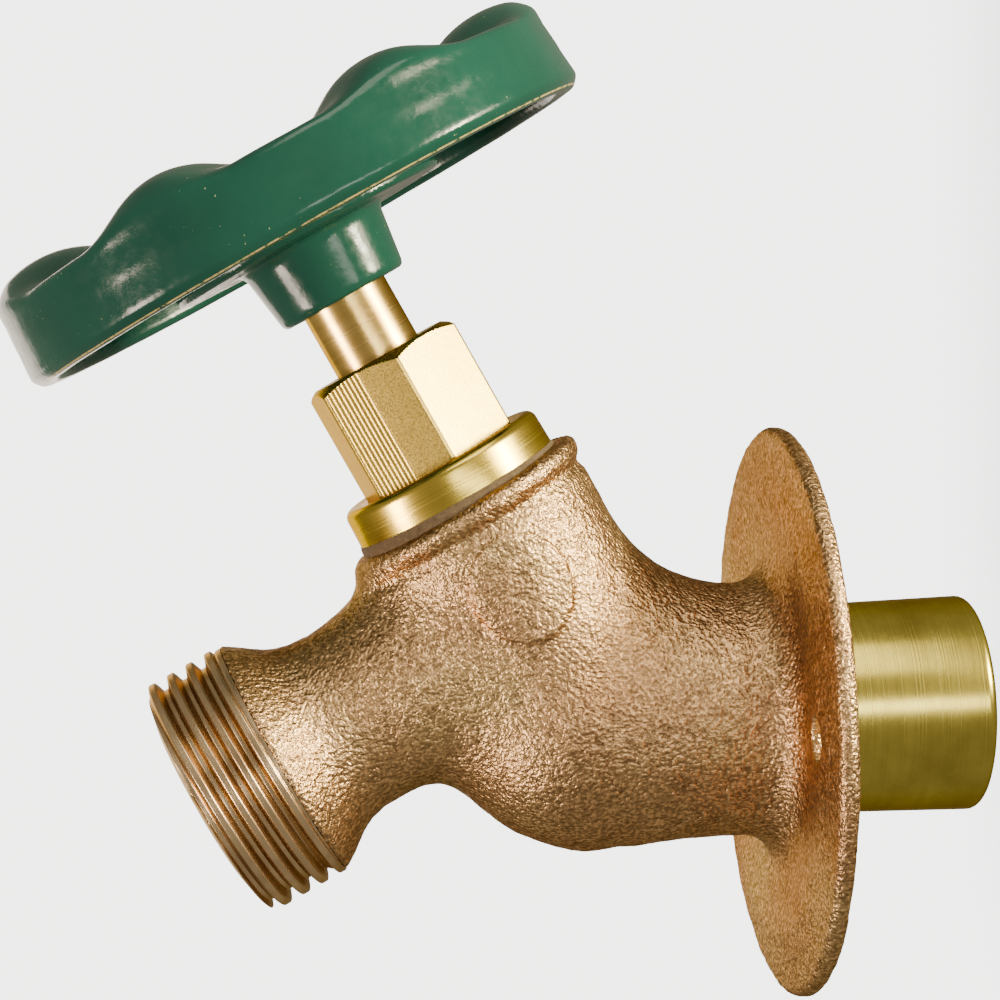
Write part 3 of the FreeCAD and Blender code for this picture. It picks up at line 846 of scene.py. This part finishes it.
def area_light(name, location, size, power, colour):
    """Soft lamp aimed at the object, unseen by the camera."""
    data = bpy.data.lights.new(name, "AREA")
    data.shape = "RECTANGLE"
    data.size, data.size_y = size
    data.energy = power
    data.color = colour
    lamp = bpy.data.objects.new(name, data)
    lamp.visible_camera = False
    bpy.context.scene.collection.objects.link(lamp)
    lamp.location = location
    aim = Vector(LIT) - Vector(location)
    lamp.rotation_euler = aim.to_track_quat("-Z", "Y").to_euler()


def make_stage():
    """Pale floor that bends up into a wall, soft lights and a dim warm world."""
    section = [(-FLOOR_HALF, FLOOR_Z)]
    for step in range(13):
        angle = math.pi / 2 * step / 12
        section.append((WALL_Y - FLOOR_BEND + FLOOR_BEND * math.sin(angle),
                        FLOOR_Z + FLOOR_BEND - FLOOR_BEND * math.cos(angle)))
    section.append((WALL_Y, WALL_TOP))
    points, faces = [], []
    for y, z in section:
        points += [(-FLOOR_HALF / MM, y / MM, z / MM), (FLOOR_HALF / MM, y / MM, z / MM)]
    for index in range(len(section) - 1):
        faces.append((2 * index, 2 * index + 1, 2 * index + 3, 2 * index + 2))
    floor = mesh_object("floor", points, faces)
    # Pale everywhere, and brightest in the stretch behind the object
    p = Paint("floor_paint", Roughness=0.9)
    place = p.add("ShaderNodeSeparateXYZ", None, Vector=p.place).outputs
    behind = p.fade(place["Y"], 0.45, 0.62)
    inside = p.fade(p.math("ABSOLUTE", place["X"]), 0.55, 0.38)
    low = p.fade(place["Z"], 0.62, 0.42)
    glow = p.math("MULTIPLY", p.math("MULTIPLY", behind, inside), low)
    p.set(p.surface, Base_Color=(0.75, 0.75, 0.75, 1), Emission_Color=(1, 1, 1, 1))
    p.set(p.surface, Emission_Strength=p.math("ADD", p.math("MULTIPLY", glow, 3.7), 0.3))
    p.on(floor)
    # The floor doesn't light the object, whose underside is dark in the photo
    floor.visible_glossy = False
    floor.visible_diffuse = False

    world = bpy.data.worlds.new("studio")
    bpy.context.scene.world = world
    world.use_nodes = True
    background = world.node_tree.nodes["Background"]
    background.inputs["Color"].default_value = (1, 0.9, 0.7, 1)
    background.inputs["Strength"].default_value = 0.33
    area_light("key_core", (0.375, -0.218, 0.204), (0.09, 0.12), 4.3, (1, 0.92, 0.64))
    area_light("key_soft", (0.40, -0.22, 0.24), (0.3, 0.18), 3.5, (1, 0.89, 0.62))
    area_light("fill", (-0.24, -0.10, -0.08), (0.06, 0.10), 0.7, (1, 0.80, 0.66))
    area_light("front", (0.10, -0.45, 0.05), (0.3, 0.08), 0.65, (1, 0.94, 0.84))
    area_light("back", (-0.20, 0.45, 0.0), (0.35, 0.35), 1.0, (1, 0.86, 0.74))
    area_light("top", (-0.02, -0.24, 0.40), (0.35, 0.3), 1.5, (1, 0.92, 0.76))


def make_camera():
    """Camera at the photograph's angle."""
    c, s = math.cos(CAMERA_YAW), math.sin(CAMERA_YAW)
    yaw = Matrix(((c, -s, 0), (s, c, 0), (0, 0, 1)))
    c, s = math.cos(CAMERA_PITCH), math.sin(CAMERA_PITCH)
    pitch = Matrix(((1, 0, 0), (0, c, -s), (0, s, c)))
    turn = (pitch @ yaw).transposed()
    right, ahead, up = (turn @ Vector(v) for v in ((1, 0, 0), (0, 1, 0), (0, 0, 1)))
    c, s = math.cos(CAMERA_ROLL), math.sin(CAMERA_ROLL)
    camera_right = c * right + s * up
    camera_up = c * up - s * right
    rotation = Matrix((camera_right, camera_up, -ahead)).transposed()
    data = bpy.data.cameras.new("camera")
    data.lens = CAMERA_LENS
    data.sensor_width = 36
    camera = bpy.data.objects.new("camera", data)
    bpy.context.scene.collection.objects.link(camera)
    place = Matrix.Translation(CAMERA_LOOK_AT - ahead * CAMERA_DISTANCE)
    camera.matrix_world = place @ rotation.to_4x4()
    bpy.context.scene.camera = camera


# ---------------------------------------------------------------- assembly

casting = make_casting()
thread = make_thread()
wheel = make_wheel()
tube = make_tube()
gasket = make_gasket()
collar = make_collar()
nut = make_nut()

cast_bronze().on(casting)
polished("thread_bronze", (0.80, 0.60, 0.37), 0.24, (0.52, 0.36, 0.21), OUTLET_AXIS).on(thread)
polished("tube_brass_skin", (0.60, 0.50, 0.10), 0.2, (0.42, 0.33, 0.06), (1, 0, 0)).on(tube)
polished("collar_brass", (0.76, 0.57, 0.10), 0.2, (0.56, 0.40, 0.06), STEM_AXIS).on(collar)
polished("nut_brass", (0.74, 0.54, 0.12), 0.24, (0.62, 0.43, 0.09)).on(nut)
polished("stem_brass_skin", (0.80, 0.56, 0.18), 0.2, (0.5, 0.32, 0.09), STEM_AXIS).on(NODES["stem"])
polished("inner_brass", (0.8, 0.6, 0.3), 0.25, (0.6, 0.4, 0.2)).on(
    NODES["packing_gland"], NODES["washer_screw"])
enamel().on(wheel)
dull("fibre_skin", (0.15, 0.105, 0.06), 0.8, 2500).on(gasket)
dull("packing_skin", (0.06, 0.06, 0.06), 0.7, 3000).on(
    NODES["packing_ring_lower"], NODES["packing_ring_upper"])
dull("washer_skin", (0.03, 0.03, 0.03), 0.6, 3000).on(NODES["seat_washer"])
polished("steel_skin", (0.62, 0.62, 0.64), 0.25, (0.5, 0.5, 0.5)).on(
    NODES["handle_screw"], NODES["cap_disc"])

make_stage()
make_camera()
